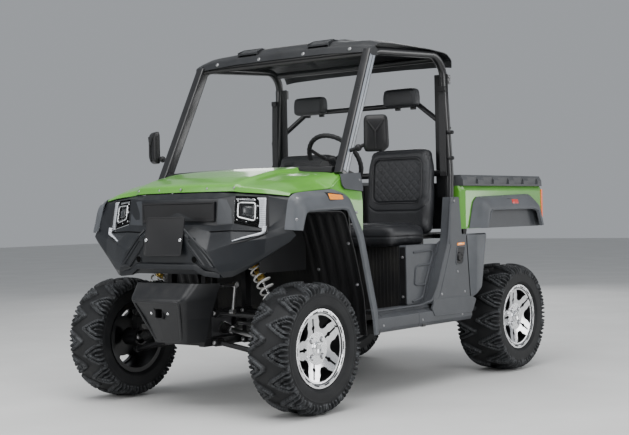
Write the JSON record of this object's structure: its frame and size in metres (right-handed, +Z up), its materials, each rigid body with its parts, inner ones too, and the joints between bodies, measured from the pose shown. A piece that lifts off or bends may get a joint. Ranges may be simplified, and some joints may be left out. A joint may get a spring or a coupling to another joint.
{
  "type": "side by side utility vehicle",
  "caption": "Open utility vehicle with a caged cabin, bench of bucket seats, moulded hood, tipping cargo bed and lugged mud tyres",
  "frame": {"origin": "on the ground under the middle of the wheelbase", "axes": "the front faces -Y, the driver's side is +X, +Z is up"},
  "size_m": [1.719, 2.805, 1.972],
  "materials": {
    "black_frame": "satin black coating with dust",
    "cage_black": "satin black powder coat",
    "black_plastic": "grained moulding",
    "dark_grey_plastic": "grained moulding",
    "grey_plastic": "grained moulding",
    "green_paint": "glossy moulded-in colour",
    "lamp_clear": "clear lens over a bright reflector",
    "glass_clear": "clear sheet",
    "lamp_red": "red lens",
    "seat_cloth": "black cover with a quilted middle",
    "belt_web": "woven web",
    "arm_black": "satin black coating",
    "shaft_steel": "bare steel with black boots",
    "engine_metal": "cast housing",
    "damper_gold": "yellow coated body",
    "spring_white": "white coated wire",
    "tyre_rubber": "matt rubber",
    "alloy": "machined alloy",
    "wheel_grip": "soft grip"
  },
  "bodies": {
    "chassis": {"chassis_frame": "black_frame", "roll_cage": "cage_black", "floor_pan": "black_plastic", "seat_side_panels": "dark_grey_plastic", "sills": "grey_plastic", "rear_quarters": "dark_grey_plastic", "hood": "green_paint", "front_fascia": "dark_grey_plastic", "headlamps": "lamp_clear", "nose_guard": "black_plastic", "front_flares": "grey_plastic", "arch_liners": "black_plastic", "cowl_sides": "green_paint", "dashboard": "black_plastic", "windscreen": "glass_clear", "roof": "black_plastic", "mirrors": "black_plastic", "seat_belts": "belt_web", "seat_cushions": "seat_cloth", "seat_backs": "seat_cloth", "headrests": "seat_cloth", "front_arms": "arm_black", "rear_arms": "arm_black", "half_shafts": "shaft_steel", "engine": "engine_metal", "shocks": "damper_gold", "springs": "spring_white"},
    "steering_wheel": {"steering_wheel": "wheel_grip"},
    "rack": {"steering_rack": "shaft_steel"},
    "knuckle_left": {"knuckle_left": "arm_black"},
    "knuckle_right": {"knuckle_right": "arm_black"},
    "bed": {"bed_box": "black_plastic", "bed_sides": "green_paint", "bed_rails": "dark_grey_plastic", "rear_flares": "grey_plastic", "tail_lamps": "lamp_red"},
    "tailgate": {"tailgate": "dark_grey_plastic"},
    "wheel_front_left": {"tyre_front_left": "tyre_rubber", "rim_front_left": "alloy"},
    "wheel_front_right": {"tyre_front_right": "tyre_rubber", "rim_front_right": "alloy"},
    "wheel_rear_left": {"tyre_rear_left": "tyre_rubber", "rim_rear_left": "alloy"},
    "wheel_rear_right": {"tyre_rear_right": "tyre_rubber", "rim_rear_right": "alloy"}
  },
  "joints": [
    {"name": "steering", "type": "hinge", "parent": "chassis", "child": "steering_wheel", "pos_m": [0.34, -0.322, 1.285], "axis": [0, 0.8192, 0.5736], "range_deg": [-270, 270]},
    {"name": "rack_slide", "type": "slide", "parent": "chassis", "child": "rack", "axis": [-1, 0, 0], "range_m": [-0.049, 0.049]},
    {"name": "steer_left", "type": "hinge", "parent": "chassis", "child": "knuckle_left", "pos_m": [0.55, -1, 0.33], "axis": [0, 0, 1], "range_deg": [-28, 28]},
    {"name": "steer_right", "type": "hinge", "parent": "chassis", "child": "knuckle_right", "pos_m": [-0.55, -1, 0.33], "axis": [0, 0, 1], "range_deg": [-28, 28]},
    {"name": "spin_front_left", "type": "hinge", "parent": "knuckle_left", "child": "wheel_front_left", "pos_m": [0.64, -1, 0.33], "axis": [1, 0, 0], "continuous": true},
    {"name": "spin_front_right", "type": "hinge", "parent": "knuckle_right", "child": "wheel_front_right", "pos_m": [-0.64, -1, 0.33], "axis": [1, 0, 0], "continuous": true},
    {"name": "spin_rear_left", "type": "hinge", "parent": "chassis", "child": "wheel_rear_left", "pos_m": [0.64, 1, 0.33], "axis": [1, 0, 0], "continuous": true},
    {"name": "spin_rear_right", "type": "hinge", "parent": "chassis", "child": "wheel_rear_right", "pos_m": [-0.64, 1, 0.33], "axis": [1, 0, 0], "continuous": true},
    {"name": "bed_tip", "type": "hinge", "parent": "chassis", "child": "bed", "pos_m": [0, 1.3, 0.85], "axis": [-1, 0, 0], "range_deg": [0, 40]},
    {"name": "tailgate_hinge", "type": "hinge", "parent": "bed", "child": "tailgate", "pos_m": [0, 1.379, 0.905], "axis": [-1, 0, 0], "range_deg": [0, 90]}
  ],
  "couplings": [
    {"joint": "rack_slide", "follows": "steering", "m_per_rad": 0.01037},
    {"joint": "steer_left", "follows": "steering", "ratio": 0.1037},
    {"joint": "steer_right", "follows": "steering", "ratio": 0.1037}
  ]
}
